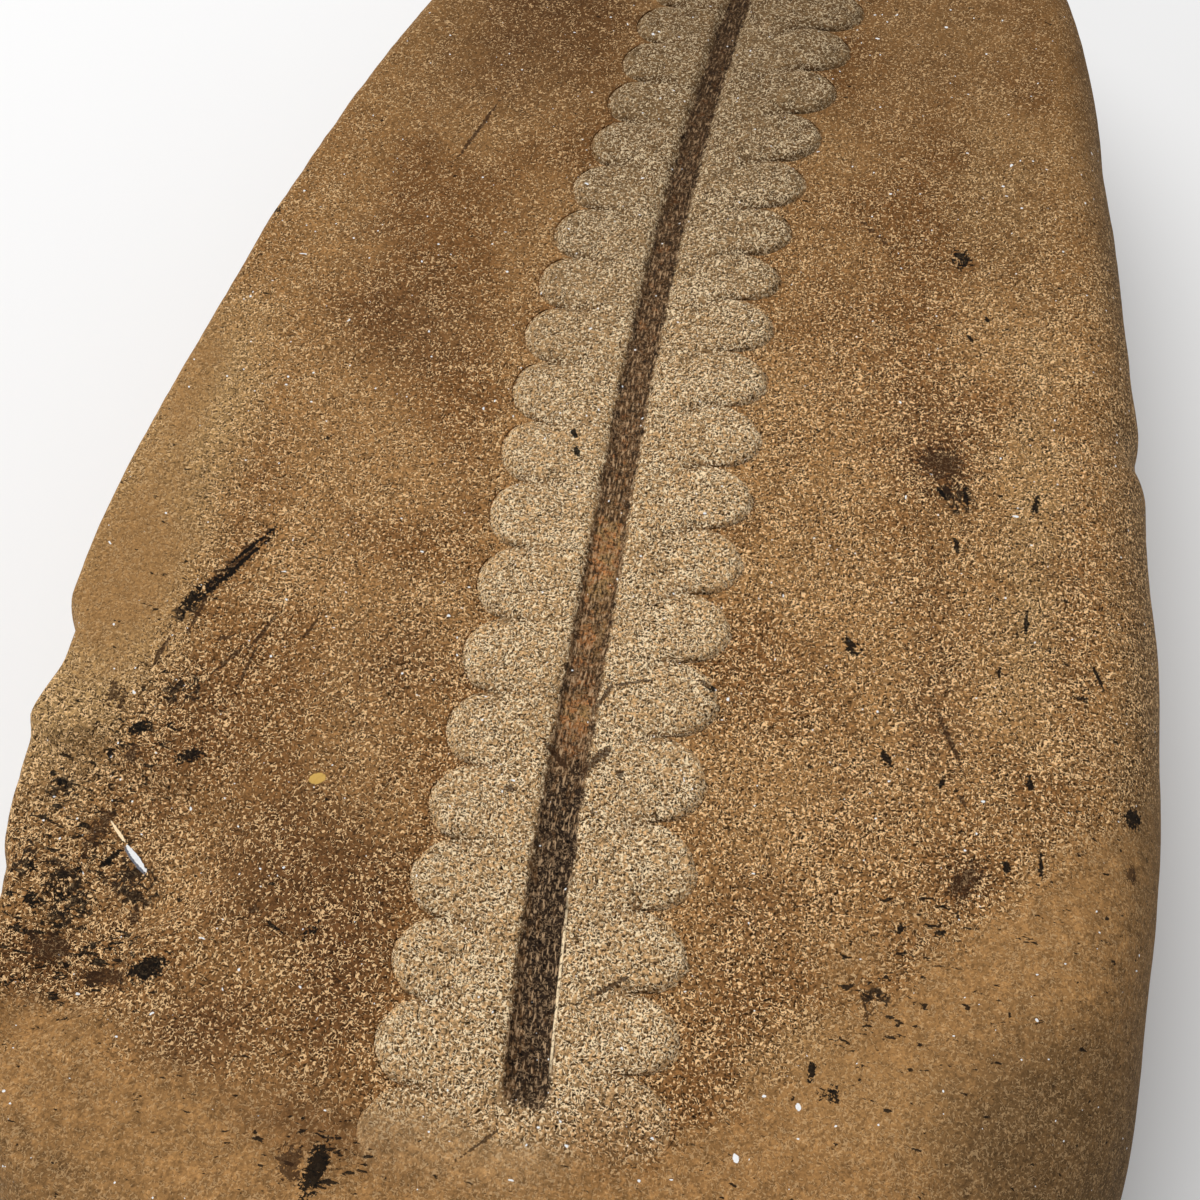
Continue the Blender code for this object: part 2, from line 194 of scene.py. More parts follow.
CALM_PATCHES = [
    (-24.0, 8.0, 14.0, 24.0, 0.8), (-20.0, -42.0, 9.0, 13.0, 0.6), (-20.0, -57.0, 8.0, 4.0, 0.5),
]

# The stone turns darker and calmer between these distances along.
FAR_START = (-5.0 * MM, 52.0 * MM)

# Half the width of the midrib's filling at its near end, in mm, and its narrowing with distance.
RIB_NEAR_HALF_WIDTH = 1.62
RIB_TAPER = 0.0055

# How warm the midrib's filling is along it, from black at 0 to orange at 1: distance along, share.
RIB_WARMTH = [
    (-58.0, 0.05), (-34.0, 0.1), (-31.5, 0.7), (-29.0, 0.85), (-27.0, 0.45), (-23.5, 0.75),
    (-20.5, 0.6), (-18.0, 0.95), (-14.5, 1.0), (-12.5, 0.6), (-5.0, 0.4), (10.0, 0.4), (50.0, 0.3),
]

# Marks: across, along, half length, half width, all in mm, and degrees anticlockwise from +X.
# Broad marks are read off the mesh, and thin ones are drawn by the material.
BROAD_COAL = [
    (-30.7, -24.0, 1.2, 0.42, 59), (-32.6, -26.3, 1.1, 0.5, 72), (-33.0, -36.8, 0.9, 0.57, 28),
    (-26.6, -53.3, 1.2, 0.91, -11), (-27.3, -53.6, 0.8, 0.45, 16), (-16.5, -49.0, 0.65, 0.45, 50),
    (-11.7, -63.5, 1.7, 0.66, 88), (40.0, -29.9, 0.9, 0.75, -63), (19.9, -53.1, 0.65, 0.55, 41),
    (23.8, 18.5, 1.2, 0.75, -78), (-28.7, -38.2, 1.1, 0.55, 25), (-29.9, -52.5, 0.55, 0.45, 23),
    (-36.7, -50.3, 0.8, 0.45, -52), (18.2, -20.5, 1.0, 0.45, -41), (-29.9, -22.7, 1.8, 0.32, 61),
    (-32.9, -36.7, 0.75, 0.37, 29), (-35.0, -39.0, 0.57, 0.33, 65), (-37.6, -41.7, 0.62, 0.32, -15),
    (-37.4, -47.9, 0.6, 0.35, -62), (-34.3, -47.4, 0.55, 0.3, -38), (-34.8, -49.5, 0.6, 0.35, 0),
    (-35.9, -55.8, 0.7, 0.3, 33), (31.4, -13.3, 0.8, 0.3, 87), (29.7, -37.8, 0.45, 0.33, 40),
    (-36.9, 12.4, 0.8, 0.32, -50),
]
BROAD_BROWN = [
    (-29.4, -21.1, 2.9, 0.5, 61), (-35.5, -34.6, 1.1, 0.6, -71),
    (-33.8, -44.3, 2.0, 0.65, 79), (-13.4, -63.5, 1.3, 0.7, -60), (-32.9, -38.8, 0.8, 0.75, 48),
    (-29.3, -50.0, 0.8, 0.5, -55), (23.6, -3.0, 1.8, 1.6, -34), (27.7, -37.3, 1.9, 0.8, 57),
    (-20.7, -48.4, 0.8, 0.45, -73), (-34.3, -53.2, 1.5, 1.0, 0), (-29.9, -54.4, 1.8, 0.6, 6),
    (39.9, -34.2, 0.6, 0.5, -82), (16.3, 19.5, 2.6, 0.3, -41), (22.2, -47.5, 0.6, 0.33, 35),
    (-30.2, -22.8, 4.0, 0.55, 60), (0.7, -33.0, 1.8, 0.36, 53), (-5.1, -36.4, 0.5, 0.35, -56),
    (1.0, -36.9, 0.55, 0.3, 1), (7.7, -25.7, 0.6, 0.3, -22),
]
SCRIBBLED = [
    (-30.8, -33.2, 1.5, 1.3, 60), (-32.3, -26.5, 2.0, 0.8, 60), (-34.6, -49.6, 2.8, 1.7, -60),
    (-37.6, -42.0, 1.2, 0.8, 30), (-38.3, -47.5, 1.6, 0.9, 90),
    (-30.2, -47.8, 2.2, 1.6, -40), (25.2, -6.0, 1.8, 1.4, -60), (22.3, -46.5, 1.1, 1.0, -81),
]
THIN_COAL = [
    (-30.4, -23.6, 5.1, 0.17, 60), (-29.4, -20.9, 2.6, 0.15, 58), (-38.5, -41.1, 0.25, 0.28, 76),
    (-32.3, -46.3, 0.87, 0.22, 55), (-19.0, -49.1, 0.6, 0.12, -23), (25.8, -5.9, 0.9, 0.22, -76),
    (23.8, -5.9, 0.7, 0.15, -52), (25.4, -10.4, 0.7, 0.22, -72), (31.3, -5.6, 0.85, 0.27, 87),
    (31.1, -16.2, 1.1, 0.17, 90), (29.3, -20.8, 0.5, 0.14, 85), (36.6, -19.7, 1.0, 0.15, -61),
    (21.5, -29.0, 0.8, 0.26, -57), (25.6, -30.3, 0.4, 0.18, 68), (31.9, -29.2, 0.65, 0.25, -84),
    (30.5, -35.7, 0.6, 0.26, -80), (32.9, -35.2, 0.9, 0.16, 90), (23.6, -41.4, 0.36, 0.24, 49),
    (26.3, -41.2, 0.5, 0.2, 15), (18.6, -51.8, 0.6, 0.22, 87), (-6.3, -5.5, 0.5, 0.23, -65),
    (-5.8, -7.2, 0.5, 0.23, -74), (26.5, 12.2, 0.3, 0.22, -38), (25.1, 10.0, 0.5, 0.25, -56),
    (8.2, -25.9, 0.4, 0.22, 69),
]
THIN_BROWN = [
    (-26.3, -27.6, 1.9, 0.17, 70), (-29.2, -28.8, 0.95, 0.17, 29), (-22.9, -26.8, 1.2, 0.13, 68),
    (-33.3, -30.7, 1.5, 0.17, 76),
    (26.0, -26.8, 2.4, 0.2, -65), (27.2, -31.4, 0.6, 0.2, -64), (-21.5, 25.2, 4.2, 0.18, 73),
    (-31.5, -26.9, 2.2, 0.16, 82), (-28.0, -30.2, 1.5, 0.16, 55), (-26.6, -30.4, 2.0, 0.13, 82),
    (-2.4, -33.1, 1.4, 0.25, -38), (0.3, -28.1, 1.1, 0.18, 69), (2.3, -26.6, 1.6, 0.14, 18),
    (2.5, -33.8, 0.35, 0.28, -51), (4.2, -49.1, 2.2, 0.14, 40), (-2.0, -60.2, 1.6, 0.12, 46),
]
YELLOW_CHIP = [(-19.0, -38.2, 0.63, 0.42, 20)]
PALE_SLIVER = [(-32.4, -44.4, 1.1, 0.11, -40)]
WHITE_MARKS = [
    (-30.5, -46.0, 1.3, 0.18, -38), (18.0, -54.2, 0.22, 0.17, -73), (14.4, -58.0, 0.26, 0.2, -57),
]
GREY_SLIVER = [(-30.6, -46.15, 1.3, 0.17, -38)]


def smooth_curve(stations, at, period=None):
    """A smooth curve through (place, value) stations, read at an array of places."""
    places, values = np.array(sorted(stations)).T
    if period:
        places = np.concatenate([places[-2:] - period, places, places[:2] + period])
        values = np.concatenate([values[-2:], values, values[:2]])
    slopes = np.gradient(values, places)
    at = np.clip(at, places[0], places[-1])
    low = np.clip(np.searchsorted(places, at) - 1, 0, len(places) - 2)
    span = places[low + 1] - places[low]
    part = (at - places[low]) / span
    start = (2 * part**3 - 3 * part**2 + 1) * values[low]
    leave = (part**3 - 2 * part**2 + part) * span * slopes[low]
    end = (3 * part**2 - 2 * part**3) * values[low + 1]
    arrive = (part**3 - part**2) * span * slopes[low + 1]
    return start + leave + end + arrive


def smooth_step(value, start=0.0, end=1.0):
    """0 at the start, 1 at the end, and a smooth rise between."""
    value = np.clip((value - start) / (end - start), 0.0, 1.0)
    return value * value * (3 - 2 * value)


def waves(points, height, length):
    """Smooth random waves, always the same ones, at an array of points."""
    return height * np.array([noise.noise(Vector(point / length)) for point in points])


def midrib(along):
    return smooth_curve(MIDRIB_LINE, along / MM) * MM


def notch_place(number):
    """Where the creases of a number start at the midrib, and their left and right notches."""
    left = smooth_curve(LEFT_NOTCHES, number) * MM
    right = smooth_curve(RIGHT_NOTCHES, number) * MM
    return (left + right - RIGHT_SWEEP) / 2, left, right


def lobe_edge(number, left):
    """How far the frond's scalloped edge lies from the midrib, and how near a crease it is."""
    reach = np.where(left, smooth_curve(LEFT_REACH, number), smooth_curve(RIGHT_REACH, number)) * MM
    across = np.abs(2 * (number - np.floor(number)) - 1)
    bulge = np.clip(1 - across**2, 0, 1) ** TIP_FULLNESS
    deep = np.where(left, LEFT_NOTCH_DEPTH, RIGHT_NOTCH_DEPTH)
    return reach - deep * (1 - bulge), across, reach - deep


def frond_relief(number, out, left, along):
    """Height of the frond above the split face, and how far inside the lobes' edge it is."""
    edge, across, notch_line = lobe_edge(number, left)
    inside = edge - out
    crease = np.exp(-(((1 - across) / CREASE_WIDTH) ** 2)) * smooth_step(out, MIDRIB_WIDTH, notch_line)
    lobed = (LOBE_HEIGHT - CREASE_DEPTH * crease) * smooth_step(inside, 0, LOBE_RIM)
    moat = -MOAT_DEPTH * np.exp(-((inside / MOAT_WIDTH) ** 2))
    height = np.where(inside > 0, lobed - MOAT_DEPTH * (1 - smooth_step(inside, 0, LOBE_RIM)), moat)
    groove = smooth_step(-out, -(MIDRIB_WIDTH + GROOVE_WALL) / 2, -(MIDRIB_WIDTH - GROOVE_WALL) / 2)
    groove = groove * smooth_step(along, MIDRIB_NEAR_END, MIDRIB_NEAR_END + GROOVE_WALL)
    height = height * (1 - groove) - GROOVE_DEPTH * groove
    fade = smooth_step(number, *NEAR_FADE) * smooth_step(number, *FAR_FADE)
    return height * fade, inside, groove * fade, fade


def lip_rise(x, y):
    """How far a place is past the start of the lip, towards its top."""
    near = LIP_START_NEAR - y
    corner = (x - LIP_CORNER[0]) * LIP_CORNER_RISE[0] + (y - LIP_CORNER[1]) * LIP_CORNER_RISE[1]
    return np.maximum(near, corner)


def face_height(x, y):
    """Height of the split face, carried on past its edge as if the shoulder weren't there."""
    plan = np.stack([x, y, np.zeros(len(x))]).T
    dish = DISH_ACROSS * (x / (WIDTH / 2)) ** 2 + DISH_ALONG * (y / (LENGTH / 2)) ** 2
    lip = LIP_HEIGHT * smooth_step(lip_rise(x, y), 0, LIP_SLOPE)
    wavy = sum(waves(plan, height, length) for height, length in BREAK_WAVES)
    ledge_x = (x - LEDGE_CENTRE[0]) / LEDGE_REACH[0]
    ledge_y = (y - LEDGE_CENTRE[1]) / LEDGE_REACH[1]
    ragged = np.hypot(ledge_x, ledge_y) + waves(plan, 0.5, LEDGE_RAGGED)
    ledge = -LEDGE_DEPTH * smooth_step(-ragged, -1.15, -0.9)
    return FACE_HEIGHT + dish + lip + wavy + ledge


def broken_ground(x, y):
    """0 on sound stone and 1 where the face is flaked and pitted."""
    broken = np.zeros(len(x))
    for across, along, wide, long in BROKEN_GROUND:
        away = np.hypot((x / MM - across) / wide, (y / MM - along) / long)
        broken = np.maximum(broken, 1 - smooth_step(away, 0.6, 1.3))
    return broken


def patches(x, y, spots):
    """Strength, from 0 to 1, of soft patches at plan places."""
    total = np.zeros(len(x))
    for across, along, wide, long, strength in spots:
        away = ((x / MM - across) / wide) ** 2 + ((y / MM - along) / long) ** 2
        total = 1 - (1 - total) * (1 - strength * np.exp(-away * 0.9))
    return total


def mark_share(x, y, marks):
    """How near plan places lie to marks: 0 at a mark's middle and 1 at its rim."""
    nearest = np.full(len(x), 9.0)
    for across, along, long, wide, turn in marks:
        right, up = x / MM - across, y / MM - along
        cos, sin = math.cos(math.radians(turn)), math.sin(math.radians(turn))
        away = np.hypot((right * cos + up * sin) / long, (up * cos - right * sin) / wide)
        nearest = np.minimum(nearest, away)
    return nearest


def surface_roughness(x, y, broken):
    """Fine unevenness of the whole face, and pits where the ground is broken."""
    plan = np.stack([x, y, np.zeros(len(x))]).T
    uneven = sum(waves(plan, height, length) for height, length in FINE_WAVES)
    pits = sum(smooth_step(waves(plan, 1.0, size), 0.05, 0.35) for size in PIT_SIZES) / 2
    return uneven - PIT_DEPTH * pits * broken


def chip_depth(girth):
    """How far chips and dents set the edge back, at plan points on the girth."""
    depth = np.zeros(len(girth))
    for chip_x, chip_y, reach, deep in CHIPS:
        away = np.hypot(girth[:, 0] / MM - chip_x, girth[:, 1] / MM - chip_y) / reach
        depth = depth + deep * MM * smooth_step(-away, -1.3, -0.3)
    return depth


def rim(bearing, below):
    """Heading, distance to the girth and width of the shoulder, at bearings from the middle."""
    degrees = np.degrees(bearing) % 360
    across, along = np.array(GIRTH).T * MM
    across = across / (WIDTH / 2)
    along = along / (LENGTH / 2)
    stations = list(zip(np.degrees(np.arctan2(along, across)) % 360, np.hypot(across, along)))
    spoke = np.stack([np.cos(bearing) * WIDTH / 2, np.sin(bearing) * LENGTH / 2]).T
    length = np.hypot(spoke[:, 0], spoke[:, 1])
    reach = smooth_curve(stations, degrees, 360.0) * length
    heading = spoke / length[:, None]
    chips = chip_depth(heading * reach[:, None]) * (1 - smooth_step(below, 0, 0.7))
    return heading, reach - chips, smooth_curve(SHOULDER, degrees, 360.0) * MM


def grid_numbers(grid):
    """The column, counted out from the midrib, the side and the row of each point of the grid."""
    column = np.round(grid[:, 0] * SIDE_COLUMNS).astype(int)
    row = np.round((grid[:, 1] + 1) / 2 * ROWS).astype(int)
    return np.abs(column), column < 0, row


def column_out(column, edge):
    """Distance out from the midrib of each column of the frond, where the lobes end at edge."""
    foot = (MIDRIB_WIDTH - GROOVE_WALL) / 2
    brow = (MIDRIB_WIDTH + GROOVE_WALL) / 2
    in_groove = foot * column / GROOVE_COLUMNS
    on_wall = foot + (brow - foot) * (column - GROOVE_COLUMNS) / WALL_COLUMNS
    share = np.clip((column - GROOVE_COLUMNS - WALL_COLUMNS) / LOBE_COLUMNS, 0, 1)
    share = share * (1.45 - 0.45 * share)
    on_lobe = brow + share * (edge - brow)
    out = np.where(column <= GROOVE_COLUMNS, in_groove, on_wall)
    return np.where(column > GROOVE_COLUMNS + WALL_COLUMNS, on_lobe, out)


def spaced_grid(grid):
    """Space the square grid so that its lines fall roughly where the frond needs them."""
    column, left, row = grid_numbers(grid)
    frond = column_out(column, np.full(len(grid), USUAL_REACH)) / (WIDTH / 2)
    outer = np.clip((column - FROND_COLUMNS) / OUTER_COLUMNS, 0, 1)
    x = np.where(outer > 0, frond + outer * (1 - frond), frond) * np.where(left, -1, 1)
    start, end = [notch_place(np.array([number]))[0][0] for number in (FIRST_NUMBER, LAST_NUMBER)]
    stops = [0, NEAR_ROWS, NEAR_ROWS + FROND_ROWS, ROWS]
    y = np.interp(row, stops, [-1, start / (LENGTH / 2), end / (LENGTH / 2), 1])
    return x, y


def settle_on_frond(grid, x, y):
    """Move the grid's lines onto the lobes' edges, the creases and the groove's walls."""
    column, left, row = grid_numbers(grid)
    number = FIRST_NUMBER + (row - NEAR_ROWS) / ROWS_PER_LOBE
    number = np.clip(number - CREASE_CROWDING * np.sin(2 * np.pi * number), FIRST_NUMBER, LAST_NUMBER)
    edge, _, notch_line = lobe_edge(number, left)
    out = column_out(column, edge)
    middle, left_notch, right_notch = notch_place(number)
    notch = np.where(left, left_notch, right_notch)
    along = middle + (notch - middle) * smooth_step(out, 0, notch_line)
    aside = midrib(along) + out * np.where(left, -1, 1)
    hold = 1 - smooth_step(column, FROND_COLUMNS, FROND_COLUMNS + SETTLE_COLUMNS)
    hold = hold * smooth_step(row, 0, NEAR_ROWS) * (1 - smooth_step(row, ROWS - FAR_ROWS, ROWS))
    out = np.where(column > FROND_COLUMNS, np.abs(x - midrib(y)), out)
    relief, inside, groove, fade = frond_relief(number, out, left, along)
    x = x + (aside - x) * hold
    y = y + (along - y) * hold
    return x, y, relief, inside, number, fade


def wrap_stone(grid, flat):
    """Wrap a flat disc round the stone: radius 0 to 1 is the face and shoulder, 1 to 2 the flank.

    Gives the points, how far the plan was moved to centre it, and what the material reads.
    """
    radius = np.hypot(flat[:, 0], flat[:, 1])
    below = np.clip(radius - 1, 0, 1)
    heading, reach, shoulder = rim(np.arctan2(flat[:, 1], flat[:, 0]), below)
    arc = np.pi / 2 * np.sqrt((shoulder**2 + (FACE_HEIGHT - GIRTH_HEIGHT) ** 2) / 2)
    along = np.minimum(radius, 1) * (reach - shoulder + arc)
    turn = np.clip((along - reach + shoulder) / arc, 0, 1) * np.pi / 2
    x, y = heading.T * (np.minimum(along, reach - shoulder) + shoulder * np.sin(turn))

    relief = np.zeros(len(x))
    inside = np.full(len(x), -WIDTH)
    number = np.zeros(len(x))
    fade = np.zeros(len(x))
    face = slice(0, len(grid))
    settled = settle_on_frond(grid, x[face], y[face])
    x[face], y[face], relief[face], inside[face], number[face], fade[face] = settled
    heading, reach, shoulder = rim(np.arctan2(y / LENGTH, x / WIDTH), below)
    past_brow = np.clip((np.hypot(x, y) - reach + shoulder) / shoulder, 0, 1)
    height = GIRTH_HEIGHT + (face_height(x, y) + relief - GIRTH_HEIGHT) * np.sqrt(1 - past_brow**2)
    height = height - GIRTH_HEIGHT * np.sin(below * np.pi / 2)
    broken = broken_ground(x, y)
    lift = surface_roughness(x, y, broken) * np.sqrt(1 - past_brow**2)
    points = np.stack([x, y, height]).T
    lumps = sum(waves(points, deep, length) for deep, length in SKIN_WAVES) * past_brow**2
    lumps = lumps * np.minimum(shoulder / LUMPY_SHOULDER, 1)
    points[:, 2] += lift
    points[:, :2] += heading * (lumps - FOOT_INSET * (1 - np.cos(below * np.pi / 2)))[:, None]
    shift = (points[:, :2].min(axis=0) + points[:, :2].max(axis=0)) / 2
    points[:, :2] -= shift
    readings = {
        "inside the lobes": inside / MM,
        "from the midrib": (x - midrib(y)) / MM,
        "past the midrib's end": (y - MIDRIB_NEAR_END) / MM,
        "lobe number": number,
        "frond fade": fade,
        "from the edge": (reach - np.hypot(x, y)) / MM,
        "up the lip": lip_rise(x, y) / MM,
        "down the flank": below,
        "broken": broken,
        "far": smooth_step(y, *FAR_START),
        "broad coal": mark_share(x, y, BROAD_COAL),
        "broad brown": mark_share(x, y, BROAD_BROWN),
        "scribbled": mark_share(x, y, SCRIBBLED),
        "rusty": patches(x, y, RUSTY_PATCHES),
        "pale": patches(x, y, PALE_PATCHES),
        "yellow": patches(x, y, YELLOW_PATCHES),
        "shady": patches(x, y, SHADY_PATCHES),
        "smooth": patches(x, y, SMOOTH_PATCHES),
        "flecked": patches(x, y, FLECKED_PATCHES),
        "calm": patches(x, y, CALM_PATCHES),
        "rib warmth": smooth_curve(RIB_WARMTH, y / MM),
    }
    return points, shift, readings


def read_points(mesh):
    points = np.empty(len(mesh.vertices) * 3)
    mesh.vertices.foreach_get("co", points)
    return points.reshape(-1, 3)


def flat_disc(mesh, x, y):
    """Turn the square grid in a mesh into a disc of radius 1, and add rings out to radius 2."""
    bm = bmesh.new()
    bm.from_mesh(mesh)
    for vert, across, along in zip(bm.verts, x, y):
        vert.co.x = across * np.sqrt(1 - along * along / 2)
        vert.co.y = along * np.sqrt(1 - across * across / 2)
    for ring in range(FLANK_RINGS):
        edges = [edge for edge in bm.edges if edge.is_boundary]
        made = bmesh.ops.extrude_edge_only(bm, edges=edges)["geom"]
        for vert in [part for part in made if isinstance(part, bmesh.types.BMVert)]:
            vert.co *= (1 + (ring + 1) / FLANK_RINGS) / vert.co.length
    bmesh.ops.contextual_create(bm, geom=[edge for edge in bm.edges if edge.is_boundary])
    bmesh.ops.recalc_face_normals(bm, faces=bm.faces)
    bm.to_mesh(mesh)
    bm.free()


def make_stone():
    """The whole stone as one closed piece, and how far its plan was moved to centre it."""
    bpy.ops.object.select_all(action="DESELECT")
    bpy.ops.mesh.primitive_grid_add(x_subdivisions=2 * SIDE_COLUMNS, y_subdivisions=ROWS, size=2)
    stone = bpy.context.object
    stone.name = "fern_stone"
    stone.data.name = "fern_stone"
    grid = read_points(stone.data)
    flat_disc(stone.data, *spaced_grid(grid))
    points, shift, readings = wrap_stone(grid, read_points(stone.data))
    stone.data.vertices.foreach_set("co", points.ravel())
    for name, values in readings.items():
        kept = stone.data.attributes.new(name, "FLOAT", "POINT")
        kept.data.foreach_set("value", values.astype(np.float32))
    bpy.ops.object.shade_smooth_by_angle(angle=math.radians(SHARP_ANGLE))
    stone.data.update()
    return stone, shift


# ---------------------------------------------------------------- the material
class Wire:
    """A shader value, which adds, multiplies and compares as a number does."""

    def __init__(self, graph, socket):
        self.graph = graph
        self.socket = socket

    def __add__(self, other):
        return self.graph.sum("ADD", self, other)

    __radd__ = __add__

    def __sub__(self, other):
        return self.graph.sum("SUBTRACT", self, other)

    def __rsub__(self, other):
        return self.graph.sum("SUBTRACT", other, self)

    def __mul__(self, other):
        return self.graph.sum("MULTIPLY", self, other)

    __rmul__ = __mul__

    def __abs__(self):
        return self.graph.sum("ABSOLUTE", self)

    def least(self, other):
        return self.graph.sum("MINIMUM", self, other)

    def most(self, other):
        return self.graph.sum("MAXIMUM", self, other)

    def rise(self, start, end):
        """0 at the start, 1 at the end, and a smooth rise between."""
        how = {"interpolation_type": "SMOOTHSTEP"}
        return self.graph.node("ShaderNodeMapRange", how, {0: self, 1: start, 2: end})


class Graph:
    """The nodes of one material."""

    def __init__(self, name):
        self.material = bpy.data.materials.new(name)
        self.material.use_nodes = True
        self.tree = self.material.node_tree
        self.tree.nodes.clear()

    def node(self, kind, settings=None, values=None, output=0):
        """Any node: its type, its settings and its inputs by name or number."""
        made = self.tree.nodes.new(kind)
        for name, value in (settings or {}).items():
            setattr(made, name, value)
        for place, value in (values or {}).items():
            if isinstance(value, Wire):
                self.tree.links.new(value.socket, made.inputs[place])
            else:
                made.inputs[place].default_value = value
        return Wire(self, made.outputs[output])

    def sum(self, operation, *values):
        return self.node("ShaderNodeMath", {"operation": operation}, dict(enumerate(values)))

    def mix(self, share, first, second, blend="MIX"):
        """One colour turned towards another by a share."""
        how = {"data_type": "RGBA", "blend_type": blend}
        return self.node("ShaderNodeMix", how, {0: share, 6: colour(first), 7: colour(second)}, 2)

    def vector(self, operation, *values, output=0):
        return self.node("ShaderNodeVectorMath", {"operation": operation}, dict(enumerate(values)), output)

    def reading(self, name):
        return self.node("ShaderNodeAttribute", {"attribute_name": name}, output="Fac")

    def noise(self, place, per_mm, detail=2.0, rough=0.5, twist=0.0):
        values = {"Vector": place, "Scale": per_mm, "Detail": detail, "Roughness": rough, "Distortion": twist}
        return self.node("ShaderNodeTexNoise", None, values, "Fac")

    def spot(self, place, across, along, long, wide, turn=0.0):
        """Distance from a mark's middle, as a share of its reach: 1 is its rim."""
        how = {"vector_type": "TEXTURE"}
        values = {
            "Vector": place,
            "Location": (across, along, 0.0),
            "Rotation": (0.0, 0.0, math.radians(turn)),
            "Scale": (long, wide, 1e6),
        }
        return self.vector("LENGTH", self.node("ShaderNodeMapping", how, values), output="Value")

    def nearest(self, place, marks):
        """Distance from the nearest of several marks, as a share of its reach."""
        nearest = None
        for mark in marks:
            away = self.spot(place, *mark)
            nearest = away if nearest is None else nearest.least(away)
        return nearest


def colour(value):
    """A colour socket takes four numbers."""
    return (*value, 1.0) if isinstance(value, tuple) and len(value) == 3 else value


# Colours of the stone, as they are in white light, and of the painted shade, shadow, highlight and glints
# laid on it.
BROWN = (0.20, 0.092, 0.030)
TAN = (0.32, 0.168, 0.062)
RUST = (0.12, 0.053, 0.019)
OCHRE = (0.34, 0.178, 0.064)
YELLOW = (0.40, 0.25, 0.105)
GREY_SKIN_AND_SHADE = (0.19, 0.112, 0.048)
SHADE = (0.10, 0.06, 0.027)
LOBE = (0.43, 0.262, 0.12)
LOBE_EDGE_HIGHLIGHT = (0.50, 0.31, 0.142)
CREASE_SHADE = (0.14, 0.072, 0.028)
NOTCH_SHADE = (0.085, 0.037, 0.013)
RIB = (0.115, 0.06, 0.026)
RIB_BLACK = (0.025, 0.015, 0.009)
RIB_ORANGE = (0.36, 0.15, 0.05)
RIB_TAN = (0.34, 0.20, 0.075)
CREAM = (1.0, 0.78, 0.49)
WARM_GRAIN = (0.95, 0.62, 0.31)
RIB_GRAIN = (0.55, 0.36, 0.20)
GRAIN_SHADOW = (0.02, 0.008, 0.003)
LOBE_GRAIN_SHADOW = (0.04, 0.018, 0.006)
COAL_COLOUR = (0.006, 0.005, 0.004)
BROWN_MARK = (0.04, 0.018, 0.008)
SCRIBBLE = (0.014, 0.009, 0.006)
CHIP_COLOUR = (0.62, 0.38, 0.10)
SLIVER_SIDE = (0.16, 0.16, 0.18)
WHITE_MARK_AND_GLINT = (0.85, 0.85, 0.85)

STONE_ROUGHNESS = 0.85
STONE_SHINE = 0.06
BUMP_STRENGTH = 0.8
BUMP_DEPTH = 0.14 * MM


